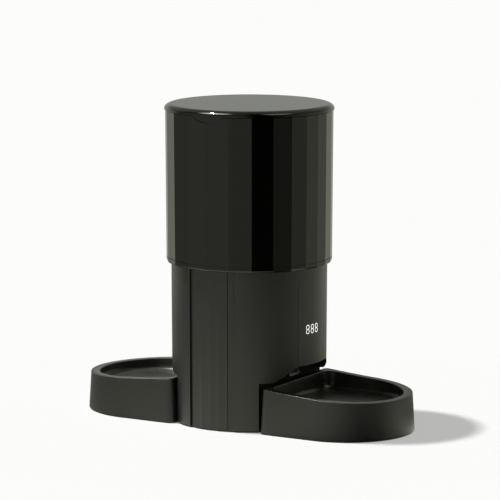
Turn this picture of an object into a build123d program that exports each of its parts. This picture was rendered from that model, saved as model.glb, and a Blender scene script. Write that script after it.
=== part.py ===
from build123d import *
import os
from math import acos, atan2, cos, degrees, pi, radians, sin, sqrt, tan

# Automatic pet feeder with a faceted food hopper over a round base and two bowls.
# Millimetres. Origin on the floor at the centre of the base, +Z up.
# The fluted front faces -Y and the two bowls stand at +X and -X.
# Angles round the body are counted from the front towards +X.

# Heights of the stack
FOOT_HEIGHT = 1.5
BASE_TOP_Z = 175.2
COLLAR_HEIGHT = 6.2
HOPPER_HEIGHT = 162.2
LID_HEIGHT = 6.4

# Faceted outline shared by the hopper and the collar
FACETS = 26
FACET_SKEW = 5.2
HOPPER_OVERHANG = 5.3
HOPPER_DRAFT = 1.0
HOPPER_WALL = 3.4
HOPPER_LEDGE = 3.0
FACET_SAG = 0.9
SEAT_WIDTH = 13.0
UPSTAND = 2.4
SCOOP_WIDTH = 34.0
SCOOP_HEIGHT = 7.2
SCOOP_DEPTH = 2.8
RIM_CHAMFER = 0.8
SHADOW_GAP = 0.9
SHADOW_GAP_DEPTH = 1.4

# Base housing
BASE_TOP_R = 85.7
BASE_DRAFT = 0.8
BASE_WALL = 2.8
LEDGE_Z = 160.0
LEDGE_WIDTH = 5.0
LEDGE_THICKNESS = 3.0
COLLAR_FOOT = 0.7
COLLAR_ROUND = 2.8
SPIGOT_WALL = 3.0
BOSS_R = 4.8
BOSS_HEIGHT = 16.0
BOSS_ANGLE = 28.0

# Bowl docks cut into both sides of the housing
DOCK_X = 51.5
DOCK_WALL = 2.4
HOOD_Z = 54.0
HOOD_BACK_Z = 51.3
HOOD_HALF_WIDTH = 57.0
HOOD_TOP_Z = 69.4
HOOD_TOP_HALF_WIDTH = 31.0
HOOD_SHOULDER_R = 24.0
HOOD_FOOT_R = 4.0
TONGUE_WIDTH = 40.0
TONGUE_HEIGHT = 5.0
TONGUE_Z = 8.0
TONGUE_LENGTH = 9.0

# Front panel with its flutes
FRONT_HALF_ANGLE = 19.0
FRONT_STRIP_ANGLES = (7.5, 14.0)
FRONT_RECESS = 0.9
FRONT_EDGE_RECESS = 2.0
FRONT_STEP = 0.4
FLUTE_DEPTH = 0.22
PANEL_RIDGE = 0.7
PANEL_FLANGE = 3.0
PANEL_FLANGE_THICKNESS = 1.4
SEAM = 0.3

# Display panel on the +X side
DISPLAY_START_ANGLE = 69.0
DISPLAY_END_ANGLE = 102.4
DISPLAY_Z = 110.0
DISPLAY_BOARD_WIDTH = 34.0
DISPLAY_BOARD_HEIGHT = 46.0
BOARD_THICKNESS = 1.6
LED_WIDTH = 30.0
LED_HEIGHT = 14.0
LED_DEPTH = 6.0
CLIP_WIDTH = 3.0
CLIP_HEIGHT = 4.0
CLIP_INSET = 2.0

# Lid
LID_OVERHANG = 1.1
LID_EDGE_HEIGHT = 5.6
LID_EDGE_WIDTH = 8.5
LID_SKIN = 2.6
PLUG_DEPTH = 12.0
PLUG_WALL = 2.2
PLUG_PLAY = 1.6
SEAL_HEIGHT = 4.0
SEAL_LIP = 1.2
SEAL_GROOVE = 1.0
SEAL_Z_OFFSET = 6.0
DESICCANT_R = 34.0
DESICCANT_DEPTH = 22.0
DESICCANT_WALL = 2.0
CAP_THICKNESS = 2.4
CAP_SLOTS = 8
CAP_SLOT_LENGTH = 16.0
CAP_SLOT_WIDTH = 3.4
CAP_SLOT_R = 19.0
CAP_NECK = 5.0
CAP_NECK_WALL = 1.6
CAP_GRIP_LENGTH = 28.0
CAP_GRIP_WIDTH = 3.0
CAP_GRIP_DEPTH = 4.0

# Funnel, dispenser chamber and portion wheel
THROAT_R = 44.0
FUNNEL_WALL = 2.2
FUNNEL_RIM_Z = 18.0
FUNNEL_RIM_WIDTH = 2.0
FUNNEL_DIP = 4.0
FUNNEL_SKIRT = 9.4
THROAT_DROP = 20.0
CHAMBER_R = 50.0
CHAMBER_WALL = 2.4
CHAMBER_FLOOR_Z = 119.4
CHAMBER_FLOOR = 2.4
ROTOR_VANES = 6
ROTOR_HUB_R = 10.0
ROTOR_PLAY = 1.4
ROTOR_BORE_CAP = 2.0
ROTOR_HEIGHT = 28.0
ROTOR_POINT = 7.0
ROTOR_POINT_R = 4.0
VANE_THICKNESS = 3.0
SHAFT_R = 4.0
BUSH_WALL = 3.0
BUSH_FLANGE = 1.5
BUSH_FLANGE_WIDTH = 2.0
BUSH_DROP = 3.0

# Gear train
MODULE = 0.9
PRESSURE_ANGLE = 25.0
BACKLASH = 0.3
WHEEL_TEETH = 42
PINION_TEETH = 14
GEAR_FACE = 6.0
GEAR_GAP = 3.0
GEAR_PLATE_TOP_Z = 91.0
GEAR_PLATE = 3.0
GEAR_PLATE_HALF_WIDTH = 23.0
POST_R = 3.2
POST_MARGIN = 0.5
AXLE_R = 2.0
IDLER_HUB = 2.2
MOTOR_R = 12.5
MOTOR_LENGTH = 36.0
MOTOR_SHAFT_R = 1.5
MOTOR_SHAFT_SINK = 14.0
MOTOR_CHAMFER = 1.2
MOTOR_END_R = 4.0
MOTOR_END = 2.5

# Chutes from the chamber to the bowls
CHUTE_WIDTH = 34.0
CHUTE_DEPTH = 20.0
CHUTE_WALL = 1.6
CHUTE_CORNER = 9.0
LIP_X = 57.0
LIP_Z = 53.0
OUTLET_X = 28.0
OUTLET_INSET = 1.0

# Bowls and their trays
TRAY_HALF_WIDTH = 74.5
TRAY_END_CENTRE = 122.3
TRAY_BACK_X = 54.0
TRAY_CORNER = 8.5
TRAY_TAPER = 3.4
TRAY_FOOT = 1.2
TRAY_WALL = 2.6
TRAY_FLOOR = 2.4
RIM_Z = 41.0
RIM_RISE = 0.0271
RIM_ARC_R = 2058.0
RIM_EDGE = 1.6
RIM_ROUND = 0.8
CAVITY_ROUND = 1.0
FLANGE_WIDTH = 8.0
FLANGE_THICKNESS = 2.4
BOWL_WALL = 2.0
BOWL_FLOOR_Z = 30.0
BOWL_TAPER = 6.0
BOWL_CORNER = 13.0
BOWL_FLOOR_ROUND = 6.0
PAD_R = 6.0
PAD_BACK = 22.0
PAD_SIDE = 24.5
PAD_END = 26.5
STOCK_HEIGHT = 40.0

# Underside
PLATE_THICKNESS = 2.6
FOOT_R = 7.0
FOOT_SINK = 0.8
FOOT_X = 36.0
FOOT_Y = 50.0
SCREW_R = 1.5
SCREW_HEAD_R = 3.2
SCREW_HEAD = 2.0
SCREW_LENGTH = 11.0
SCREW_SLOT = 0.8
SCREW_SLOT_DEPTH = 0.6
SCREW_PROUD = 0.4
BOARD_SCREW_LENGTH = 8.0
CELL_R = 7.1
CELL_NUB_R = 2.6
CELL_NUB = 1.0
CELL_LIFT = 0.1
CELL_LENGTH = 49.5
CELL_COUNT = 4
CELL_PITCH = 15.2
CELL_ROW_INSET = 51.7
BOX_WALL = 1.6
CONTACT_ROOM = 3.0
CONTACT_SIZE = 10.0
CONTACT_THICKNESS = 0.8
BOX_PLAY = 0.8
DOOR_GRIP_LENGTH = 22.0
DOOR_GRIP_WIDTH = 7.0
DOOR_GRIP_DEPTH = 1.0

# Electronics
BOARD_LENGTH = 60.0
BOARD_WIDTH = 40.0
BOARD_Y = 32.0
BOARD_LIFT = 12.0
STANDOFF_R = 3.0
STANDOFF_INSET = 4.0
CHIP_SIZE = 18.0
CHIP_HEIGHT = 2.0
RELAY = (10.0, 12.0, 8.0)
PLUG_BLOCK = (9.0, 12.0, 6.0)
PART_X = 19.0
CAPACITOR_R = 4.0
CAPACITOR_HEIGHT = 11.0
CAPACITOR_Y = 12.0
JACK_Z = 20.0
JACK_SIZE = 12.0
JACK_DEPTH = 16.0
JACK_COLLAR_R = 5.0
JACK_BORE_R = 3.2
JACK_PIN_R = 1.0
JACK_BORE_DEPTH = 11.0
JACK_SET_BACK = 0.6

# Clearances
FIT = 0.05
LOOSE = 0.3
SLIDE_GAP = 0.4

# Levels worked out from the stack
COLLAR_TOP_Z = BASE_TOP_Z + COLLAR_HEIGHT
HOPPER_BOTTOM_Z = COLLAR_TOP_Z
HOPPER_TOP_Z = HOPPER_BOTTOM_Z + HOPPER_HEIGHT
LID_TOP_Z = HOPPER_TOP_Z + LID_HEIGHT
HOPPER_BOTTOM_R = BASE_TOP_R + HOPPER_OVERHANG
HOPPER_TOP_R = HOPPER_BOTTOM_R + HOPPER_DRAFT
LID_R = HOPPER_TOP_R + LID_OVERHANG
CELL_ROW_Y = CELL_ROW_INSET - BASE_TOP_R
FLANGE_Z = LEDGE_Z
UNDER_LEDGE_Z = LEDGE_Z - LEDGE_THICKNESS
CHAMBER_BOTTOM_Z = CHAMBER_FLOOR_Z - CHAMBER_FLOOR
PLATE_TOP_Z = FOOT_HEIGHT + PLATE_THICKNESS
GEAR_CENTRES = MODULE * (WHEEL_TEETH + PINION_TEETH) / 2 + FIT
MOTOR_Y = 2 * GEAR_CENTRES
# The gears stand in two layers between the gear plate and the chamber floor.
LOWER_GEAR_Z = GEAR_PLATE_TOP_Z + GEAR_GAP
UPPER_GEAR_Z = LOWER_GEAR_Z + GEAR_FACE + GEAR_GAP
CHUTE_LEAN = (LIP_X - OUTLET_X) / (CHAMBER_BOTTOM_Z - LIP_Z)
FAR = 400.0


def base_radius(z):
    """Outer radius of the drafted housing at height z."""
    return BASE_TOP_R - BASE_DRAFT * (BASE_TOP_Z - z) / (BASE_TOP_Z - FOOT_HEIGHT)


def around(radius, angle):
    """Point at a radius and an angle counted from the front towards +X."""
    return (radius * sin(radians(angle)), -radius * cos(radians(angle)))


def facet_outline(radius, z):
    """Facet polygon, with a corner at the front and narrower facets at the sides."""
    corners = []
    for step in range(FACETS):
        turn = 360.0 * step / FACETS
        corners.append(around(radius, turn + FACET_SKEW * sin(radians(2 * turn))))
    return Plane.XY.offset(z) * make_face(Polyline(corners, close=True))


def disc(radius, z0, z1, x=0.0, y=0.0):
    """Upright cylinder between two heights."""
    return Pos(x, y, (z0 + z1) / 2) * Cylinder(radius, z1 - z0)


def ring(outer, inner, z0, z1):
    """Upright ring between two heights."""
    return disc(outer, z0, z1) - disc(inner, z0 - 1, z1 + 1)


def block(x0, x1, y0, y1, z0, z1):
    """Box between corner values."""
    return Pos((x0 + x1) / 2, (y0 + y1) / 2, (z0 + z1) / 2) * Box(x1 - x0, y1 - y0, z1 - z0)


def turned(points):
    """Solid turned about Z from a profile of radius and height."""
    return revolve(Plane.XZ * make_face(Polyline(points, close=True)), Axis.Z)


def cone_solid(r_bottom, r_top, z0, z1):
    """Upright drafted cylinder between two heights."""
    return turned([(0, z0), (r_bottom, z0), (r_top, z1), (0, z1)])


def wedge(angle0, angle1, radius=FAR, z0=-10.0, z1=FAR):
    """Pie slice between two angles, used to keep or cut a stretch of the wall."""
    middle = (angle0 + angle1) / 2
    corners = [(0, 0), around(radius, angle0), around(radius, middle), around(radius, angle1)]
    return Pos(0, 0, z0) * extrude(make_face(Polyline(corners, close=True)), z1 - z0)


def mirrored(shape):
    """The same piece on the -X side."""
    return shape.mirror(Plane.YZ)


def housing_core(inset, over):
    """Drafted solid inside the housing's outside, longer by over at both ends."""
    z0 = FOOT_HEIGHT - over
    z1 = BASE_TOP_Z + over
    return cone_solid(base_radius(z0) - inset, base_radius(z1) - inset, z0, z1)


def housing_band(inset_outer, inset_inner):
    """Wall of the housing between two insets from its drafted outside."""
    return housing_core(inset_outer, 0) - housing_core(inset_inner, 1)


def dock_space(grow):
    """Room under the hood at +X, made larger by grow on its wall and its arched ceiling."""
    slope = atan2(HOOD_TOP_Z - HOOD_Z, HOOD_HALF_WIDTH - HOOD_TOP_HALF_WIDTH)
    shift = grow * tan(slope / 2)
    high = HOOD_TOP_Z + grow
    shoulder = HOOD_TOP_HALF_WIDTH + shift
    side = 2 * BASE_TOP_R

    def half_arch(level):
        low = level + grow
        foot = HOOD_HALF_WIDTH + shift + (HOOD_Z - level) / tan(slope)
        return [(side, -5), (side, low), (foot, low), (shoulder, high)]

    front = [(-y, z) for y, z in half_arch(HOOD_Z)]
    back = half_arch(HOOD_BACK_Z)
    face = make_face(Polyline(front + back[::-1], close=True))
    feet = face.vertices().filter_by(lambda v: abs(v.X) < side - 1 and v.Y < HOOD_Z + grow + 1)
    face = fillet(feet, HOOD_FOOT_R - grow)
    shoulders = face.vertices().filter_by(lambda v: v.Y > high - FIT)
    face = fillet(shoulders, HOOD_SHOULDER_R + grow)
    return extrude(Plane.YZ.offset(DOCK_X - grow) * face, side)


def chute_tube(grow):
    """Leaning tube of the chute at +X, with its wall grown by grow."""
    length = CHAMBER_BOTTOM_Z - LIP_Z + CHUTE_DEPTH
    section = RectangleRounded(
        CHUTE_DEPTH + 2 * grow, CHUTE_WIDTH + 2 * grow, CHUTE_CORNER + grow
    )
    top = Pos(OUTLET_X + CHUTE_DEPTH / 2, 0, CHAMBER_BOTTOM_Z) * section
    lean = Vector(CHUTE_LEAN, 0, -1)
    return extrude(top, length * lean.length, dir=lean.normalized())


def boss_points():
    """Places of the four screw bosses beside the inside of the housing wall."""
    reach = base_radius(FOOT_HEIGHT) - BASE_WALL - SCREW_HEAD_R - 4 * LOOSE
    return [around(reach, angle) for angle in
            (BOSS_ANGLE, -BOSS_ANGLE, 180 - BOSS_ANGLE, 180 + BOSS_ANGLE)]


def ridge_cut(angle):
    """Corner taken off the housing wall along the edge of the front slot."""
    r = BASE_TOP_R + 1
    x, y = around(1, angle)
    across = Plane(origin=(r * x, r * y, 0), x_dir=(x, y, 0), z_dir=(0, 0, 1))
    side = (1 + PANEL_RIDGE) * sqrt(2)
    bar = Rot(0, 0, 45) * Rectangle(side, side)
    return across * extrude(bar, BASE_TOP_Z + 1)


def make_housing():
    """Round shell with a dock and hood at each side and seats for the two panels."""
    shell = housing_core(0, 0)
    room = housing_core(BASE_WALL, 1)
    dock = dock_space(0)
    dock_inner = dock_space(DOCK_WALL)
    for side in (dock, mirrored(dock)):
        shell -= side
    for side in (dock_inner, mirrored(dock_inner)):
        room -= side
    shell -= room
    inner_r = base_radius(LEDGE_Z) - BASE_WALL
    shell += ring(inner_r + 0.5, inner_r - LEDGE_WIDTH, UNDER_LEDGE_Z, LEDGE_Z)
    for x, y in boss_points():
        shell += disc(BOSS_R, PLATE_TOP_Z, PLATE_TOP_Z + BOSS_HEIGHT, x, y)
        shell -= disc(SCREW_R + LOOSE / 2, PLATE_TOP_Z - 1, PLATE_TOP_Z + SCREW_LENGTH + 1, x, y)
    front_slot = housing_band(-2, BASE_WALL) & wedge(-FRONT_HALF_ANGLE, FRONT_HALF_ANGLE)
    display_slot = housing_band(-2, BASE_WALL) & wedge(
        DISPLAY_START_ANGLE, DISPLAY_END_ANGLE, z0=HOOD_Z
    )
    shell -= front_slot
    shell -= display_slot
    for angle in (-FRONT_HALF_ANGLE, FRONT_HALF_ANGLE):
        shell -= ridge_cut(angle)
    opening = chute_tube(CHUTE_WALL + LOOSE)
    half = TONGUE_WIDTH / 2 + SLIDE_GAP
    tall = TONGUE_HEIGHT / 2 + SLIDE_GAP
    slot = block(DOCK_X - 10, DOCK_X + 10, -half, half, TONGUE_Z - tall, TONGUE_Z + tall)
    for cut in (opening, slot):
        shell -= cut
        shell -= mirrored(cut)
    jack_y = base_radius(JACK_Z)
    shell -= Pos(0, jack_y, JACK_Z) * Rot(90, 0, 0) * Cylinder(JACK_COLLAR_R + LOOSE, 4 * BASE_WALL)
    return shell


def front_section(scale):
    """Plan of the front panel: hollow flutes that stand out between two plain end strips."""
    def at(angle, depth):
        return around(scale * (BASE_TOP_R - depth), angle)

    edge = FRONT_HALF_ANGLE - degrees(SEAM / BASE_TOP_R)
    inner_strip, outer_strip = FRONT_STRIP_ANGLES
    ridges = (-outer_strip, -inner_strip, 0, inner_strip, outer_strip)
    step = degrees(FRONT_STEP / BASE_TOP_R)
    end = [(outer_strip, FRONT_RECESS), (outer_strip + step, FRONT_EDGE_RECESS), (edge, FRONT_EDGE_RECESS)]
    outline = Curve()
    for left, right in zip(ridges, ridges[1:]):
        middle = (left + right) / 2
        sag = (BASE_TOP_R - FRONT_RECESS) * (1 - cos(radians(right - middle)))
        hollow = at(middle, FRONT_RECESS + sag + FLUTE_DEPTH)
        outline += ThreePointArc(at(left, FRONT_RECESS), hollow, at(right, FRONT_RECESS))
    back = BASE_WALL + FIT + PANEL_FLANGE_THICKNESS
    rest = end + [(angle, back) for angle in (edge, inner_strip, 0, -inner_strip, -edge)]
    rest += [(-angle, depth) for angle, depth in reversed(end)]
    return make_face(outline + Polyline([at(angle, depth) for angle, depth in rest]))


def make_front_panel():
    """Fluted strip set into the front of the housing, with flanges behind the wall."""
    bottom = Pos(0, 0, FOOT_HEIGHT) * front_section(base_radius(FOOT_HEIGHT) / BASE_TOP_R)
    top = Pos(0, 0, BASE_TOP_Z) * front_section(1)
    panel = loft([bottom, top], ruled=True)
    reach = FRONT_HALF_ANGLE + degrees(PANEL_FLANGE / BASE_TOP_R)
    behind = BASE_WALL + FIT
    flange = housing_band(behind, behind + PANEL_FLANGE_THICKNESS) & wedge(
        -reach, reach, z0=PLATE_TOP_Z + LOOSE, z1=UNDER_LEDGE_Z - LOOSE
    )
    backing = housing_band(BASE_WALL - FIT, behind + 10)
    panel -= ring(FAR, 1, -1, PLATE_TOP_Z + LOOSE) & backing
    panel -= ring(FAR, 1, UNDER_LEDGE_Z - LOOSE, FAR) & backing
    return panel + flange


def make_display_panel():
    """Flush curved window over the display, cut along the hood at its foot."""
    gap = degrees(SEAM / BASE_TOP_R)
    plate = housing_band(0, BASE_WALL - FIT) & wedge(
        DISPLAY_START_ANGLE + gap, DISPLAY_END_ANGLE - gap, z0=HOOD_Z
    )
    plate -= dock_space(FIT)
    reach = degrees(PANEL_FLANGE / BASE_TOP_R)
    behind = BASE_WALL + FIT
    flange = housing_band(behind, behind + PANEL_FLANGE_THICKNESS) & wedge(
        DISPLAY_START_ANGLE - reach, DISPLAY_END_ANGLE + reach,
        z0=HOOD_Z, z1=UNDER_LEDGE_Z - LOOSE
    )
    link = housing_band(BASE_WALL - 1, behind + 0.5) & wedge(
        DISPLAY_START_ANGLE + 2 * gap, DISPLAY_END_ANGLE - 2 * gap,
        z0=HOOD_Z, z1=UNDER_LEDGE_Z - LOOSE
    )
    frame = flange + link
    frame -= dock_space(DOCK_WALL + LOOSE)
    return plate + frame


def display_frame():
    """Plane behind the display panel, looking outwards at the middle of the figures."""
    angle = (DISPLAY_START_ANGLE + DISPLAY_END_ANGLE) / 2
    x, y = around(1, angle)
    return Plane(origin=(0, 0, DISPLAY_Z), x_dir=(-y, x, 0), z_dir=(x, y, 0))


def display_depths():
    """Distances from the axis of the front of the figure block and of its board."""
    inner = base_radius(DISPLAY_Z) - BASE_WALL - FIT - PANEL_FLANGE_THICKNESS
    front = sqrt(inner ** 2 - (LED_WIDTH / 2) ** 2) - LOOSE
    return front, front - LED_DEPTH


def make_led_block():
    """Three-figure lamp block that shines through the panel."""
    front, back = display_depths()
    body = Pos(0, 0, (front + back) / 2) * Box(LED_WIDTH, LED_HEIGHT, front - back)
    return display_frame() * body


def make_display_board():
    """Circuit board that carries the lamp block."""
    _, back = display_depths()
    board = Pos(0, 0, back - BOARD_THICKNESS / 2) * Box(
        DISPLAY_BOARD_WIDTH, DISPLAY_BOARD_HEIGHT, BOARD_THICKNESS
    )
    return display_frame() * board


def make_display_clips():
    """Four posts that hold the display board off the back of the panel."""
    _, back = display_depths()
    inner = base_radius(DISPLAY_Z) - BASE_WALL - FIT - PANEL_FLANGE_THICKNESS
    clips = []
    for sx in (-1, 1):
        for sy in (-1, 1):
            x = sx * (DISPLAY_BOARD_WIDTH / 2 - CLIP_INSET)
            y = sy * (DISPLAY_BOARD_HEIGHT / 2 - CLIP_INSET - 1)
            reach = sqrt(inner ** 2 - (abs(x) + CLIP_WIDTH / 2) ** 2) - LOOSE
            post = Pos(x, y, (reach + back) / 2) * Box(CLIP_WIDTH, CLIP_HEIGHT, reach - back)
            clips.append(display_frame() * post)
    return Compound(children=clips)


def make_base_plate():
    """Floor of the housing, with the battery opening, foot seats and screw holes."""
    r = base_radius(FOOT_HEIGHT) - BASE_WALL - SEAM
    plate = disc(r, FOOT_HEIGHT, PLATE_TOP_Z)
    edge = dock_space(DOCK_WALL + SEAM)
    plate -= edge
    plate -= mirrored(edge)
    panel_back = BASE_WALL + FIT + PANEL_FLANGE_THICKNESS + LOOSE
    plate -= housing_band(0, panel_back) & wedge(-FRONT_HALF_ANGLE - 1, FRONT_HALF_ANGLE + 1)
    x0, x1, y0, y1 = battery_room()
    plate -= block(x0, x1, y0, y1, 0, FAR)
    for x, y in foot_points():
        plate -= disc(FOOT_R + FIT, 0, FOOT_HEIGHT + FOOT_SINK, x, y)
    for x, y in boss_points():
        plate -= disc(SCREW_R + LOOSE, 0, FAR, x, y)
        plate -= disc(SCREW_HEAD_R + LOOSE, 0, FOOT_HEIGHT + SCREW_HEAD - SCREW_PROUD, x, y)
    for x, y in board_points():
        plate += disc(STANDOFF_R, PLATE_TOP_Z - 0.5, PLATE_TOP_Z + BOARD_LIFT, x, y)
        plate -= disc(SCREW_R + FIT, PLATE_TOP_Z + 2, PLATE_TOP_Z + BOARD_LIFT + 1, x, y)
    return plate


def battery_room():
    """Inside corners of the battery box in plan."""
    half_x = CELL_LENGTH / 2 + CONTACT_ROOM
    half_y = (CELL_COUNT - 1) * CELL_PITCH / 2 + CELL_R + BOX_PLAY
    return -half_x, half_x, CELL_ROW_Y - half_y, CELL_ROW_Y + half_y


def make_battery_box():
    """Open box over the cells, standing on the base plate."""
    x0, x1, y0, y1 = battery_room()
    top = PLATE_TOP_Z + 2 * CELL_R + BOX_PLAY
    wall = BOX_WALL
    box = block(x0 - wall, x1 + wall, y0 - wall, y1 + wall, PLATE_TOP_Z, top + wall)
    box -= block(x0, x1, y0, y1, 0, top)
    return box


def make_battery_door():
    """Screwed door that closes the battery box from below."""
    x0, x1, y0, y1 = battery_room()
    door = block(x0 + LOOSE, x1 - LOOSE, y0 + LOOSE, y1 - LOOSE, FOOT_HEIGHT, PLATE_TOP_Z)
    grip = Pos(0, (y0 + y1) / 2, FOOT_HEIGHT) * SlotOverall(DOOR_GRIP_LENGTH, DOOR_GRIP_WIDTH)
    return door - extrude(grip, DOOR_GRIP_DEPTH)


def cell_places():
    """Middle of each battery cell along Y."""
    return [CELL_ROW_Y + (k - (CELL_COUNT - 1) / 2) * CELL_PITCH for k in range(CELL_COUNT)]


def make_cells():
    """Row of back-up cells lying across the box, each with its raised end."""
    cells = []
    z = PLATE_TOP_Z + CELL_R + CELL_LIFT
    for k, y in enumerate(cell_places()):
        can = Rot(0, 90, 0) * Cylinder(CELL_R, CELL_LENGTH - CELL_NUB)
        nub_x = (CELL_LENGTH - CELL_NUB) / 2
        nub = Pos(nub_x, 0, 0) * Rot(0, 90, 0) * Cylinder(CELL_NUB_R, CELL_NUB)
        turn = 0 if k % 2 == 0 else 180
        cells.append(Pos(0, y, z) * Rot(0, 0, turn) * (can + nub))
    return Compound(children=cells)


def make_contacts():
    """Sprung contact plates at both ends of the cells."""
    x0, x1, _, _ = battery_room()
    z = PLATE_TOP_Z + CELL_R + CELL_LIFT
    plates = []
    for y in cell_places():
        for x in (x0 + CONTACT_THICKNESS / 2, x1 - CONTACT_THICKNESS / 2):
            plates.append(Pos(x, y, z) * Box(CONTACT_THICKNESS, CONTACT_SIZE, CONTACT_SIZE))
    return Compound(children=plates)


def foot_points():
    """Places of the four feet under the base."""
    return [(sx * FOOT_X, sy * FOOT_Y) for sx in (-1, 1) for sy in (-1, 1)]


def make_feet():
    """Rubber feet let into the base plate."""
    feet = [disc(FOOT_R, 0, FOOT_HEIGHT + FOOT_SINK, x, y) for x, y in foot_points()]
    return Compound(children=feet)


def screw(x, y, z, up=True):
    """Pan-headed screw whose head sits at z; the shank points up or down."""
    head = Pos(0, 0, SCREW_HEAD / 2) * Cylinder(SCREW_HEAD_R, SCREW_HEAD)
    shank = Pos(0, 0, SCREW_HEAD + SCREW_LENGTH / 2) * Cylinder(SCREW_R, SCREW_LENGTH)
    deep = 2 * SCREW_SLOT_DEPTH
    slot = Box(2 * SCREW_HEAD_R, SCREW_SLOT, deep) + Box(SCREW_SLOT, 2 * SCREW_HEAD_R, deep)
    body = head + shank - slot
    if not up:
        body = Rot(180, 0, 0) * body
    return Pos(x, y, z) * body


def make_base_screws():
    """Screws that hold the base plate to the housing bosses."""
    z = FOOT_HEIGHT - SCREW_PROUD
    return Compound(children=[screw(x, y, z) for x, y in boss_points()])


def make_collar():
    """Faceted band between the hopper and the base, rounded under its edge."""
    r = HOPPER_BOTTOM_R
    under = BASE_TOP_R + COLLAR_FOOT
    sections = []
    for turn in (0, 30, 60, 90):
        out = under + (r - under) * sin(radians(turn))
        sections.append((out, BASE_TOP_Z + COLLAR_ROUND * (1 - cos(radians(turn)))))
    sections.append((r, COLLAR_TOP_Z))
    band = loft([facet_outline(radius, z) for radius, z in sections], ruled=True)
    band -= disc(bore_radius(), BASE_TOP_Z - 1, COLLAR_TOP_Z + 1)
    spigot_r = base_radius(FLANGE_Z) - BASE_WALL - LOOSE
    band += ring(spigot_r, spigot_r - SPIGOT_WALL, FLANGE_Z + CHAMBER_FLOOR, BASE_TOP_Z + 1)
    bore = bore_radius()
    band += ring(bore + UPSTAND, bore, COLLAR_TOP_Z - 1, COLLAR_TOP_Z + HOPPER_LEDGE)
    back = BASE_WALL + FIT + PANEL_FLANGE_THICKNESS + LOOSE
    relief = housing_band(0, back) & wedge(-FRONT_HALF_ANGLE - 4, FRONT_HALF_ANGLE + 4)
    relief_side = housing_band(0, back) & wedge(DISPLAY_START_ANGLE - 4, DISPLAY_END_ANGLE + 4)
    return band - relief - relief_side


def bore_radius():
    """Opening through the collar."""
    return HOPPER_BOTTOM_R - HOPPER_WALL - SEAT_WIDTH


def hopper_inner(z):
    """Inside radius of the drafted hopper at height z."""
    share = (z - HOPPER_BOTTOM_Z) / HOPPER_HEIGHT
    return HOPPER_BOTTOM_R - HOPPER_WALL - FACET_SAG + HOPPER_DRAFT * share


def make_hopper():
    """Faceted food hopper with a shadow gap at its foot and a finger scoop at its rim."""
    sections = [
        (HOPPER_BOTTOM_R, HOPPER_BOTTOM_Z + SHADOW_GAP),
        (HOPPER_TOP_R, HOPPER_TOP_Z - RIM_CHAMFER),
        (HOPPER_TOP_R - RIM_CHAMFER, HOPPER_TOP_Z),
    ]
    shell = loft([facet_outline(radius, z) for radius, z in sections], ruled=True)
    foot = facet_outline(HOPPER_BOTTOM_R - SHADOW_GAP_DEPTH, HOPPER_BOTTOM_Z)
    shell += extrude(foot, 2 * SHADOW_GAP)
    floor_z = HOPPER_BOTTOM_Z + HOPPER_LEDGE
    shell -= cone_solid(hopper_inner(floor_z), hopper_inner(HOPPER_TOP_Z + 1), floor_z, HOPPER_TOP_Z + 1)
    shell -= disc(bore_radius() + UPSTAND + LOOSE, HOPPER_BOTTOM_Z - 1, floor_z + 1)
    return shell - scoop_pocket()


def scoop_pocket():
    """Half oval with a flat floor that hollows the finger scoop under the lid's front edge."""
    oval = Pos(0, HOPPER_TOP_Z) * Ellipse(SCOOP_WIDTH / 2, SCOOP_HEIGHT)
    return extrude(Plane.XZ.offset(HOPPER_TOP_R - SCOOP_DEPTH) * oval, 2 * SCOOP_DEPTH)


def make_funnel():
    """Sloping floor of the hopper, which ends in the throat over the portion wheel."""
    z0 = HOPPER_BOTTOM_Z + HOPPER_LEDGE
    rim = hopper_inner(z0) - LOOSE / 2
    top = z0 + FUNNEL_RIM_Z
    bottom = z0 - THROAT_DROP
    foot = bore_radius() + UPSTAND + LOOSE + 1.0
    outer_throat = THROAT_R + FUNNEL_WALL
    slope_foot = z0 - FUNNEL_DIP
    points = [
        (THROAT_R, bottom), (outer_throat, bottom), (outer_throat, slope_foot - FUNNEL_WALL),
        (foot - UPSTAND, z0 + FUNNEL_SKIRT), (foot, z0), (rim, z0), (rim, top),
        (rim - FUNNEL_RIM_WIDTH, top), (THROAT_R, slope_foot),
    ]
    return turned(points)


def make_lid():
    """Round lid with a rolled edge, hollow underneath."""
    z0 = HOPPER_TOP_Z
    edge = [(0, LID_TOP_Z), (LID_R - LID_EDGE_WIDTH, LID_TOP_Z)]
    side = [(LID_R, LID_TOP_Z - LID_EDGE_HEIGHT), (LID_R, z0)]
    centre = (LID_R - LID_EDGE_WIDTH, LID_TOP_Z - LID_EDGE_HEIGHT)
    roll = EllipticalCenterArc(centre, LID_EDGE_WIDTH, LID_EDGE_HEIGHT, arc_size=90)
    curve = Line(*edge) + roll + Line(*side)
    inner = plug_radius() + LOOSE
    curve += Polyline(side[1], (inner, z0), (inner, LID_TOP_Z - LID_SKIN), (0, LID_TOP_Z - LID_SKIN), edge[0])
    return revolve(Plane.XZ * make_face(curve), Axis.Z)


def plug_radius():
    """Outside of the ring under the lid that enters the hopper."""
    return hopper_inner(HOPPER_TOP_Z - PLUG_DEPTH) - PLUG_PLAY


def make_lid_plug():
    """Ring under the lid with a groove for the seal and a seat for the desiccant cup."""
    r = plug_radius()
    top = LID_TOP_Z - LID_SKIN
    plug = ring(r, r - PLUG_WALL, HOPPER_TOP_Z - PLUG_DEPTH, top)
    seal_z = HOPPER_TOP_Z - SEAL_Z_OFFSET
    plug -= ring(r + 1, r - SEAL_GROOVE, seal_z - SEAL_HEIGHT / 2 - FIT, seal_z + SEAL_HEIGHT / 2 + FIT)
    return plug


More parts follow.
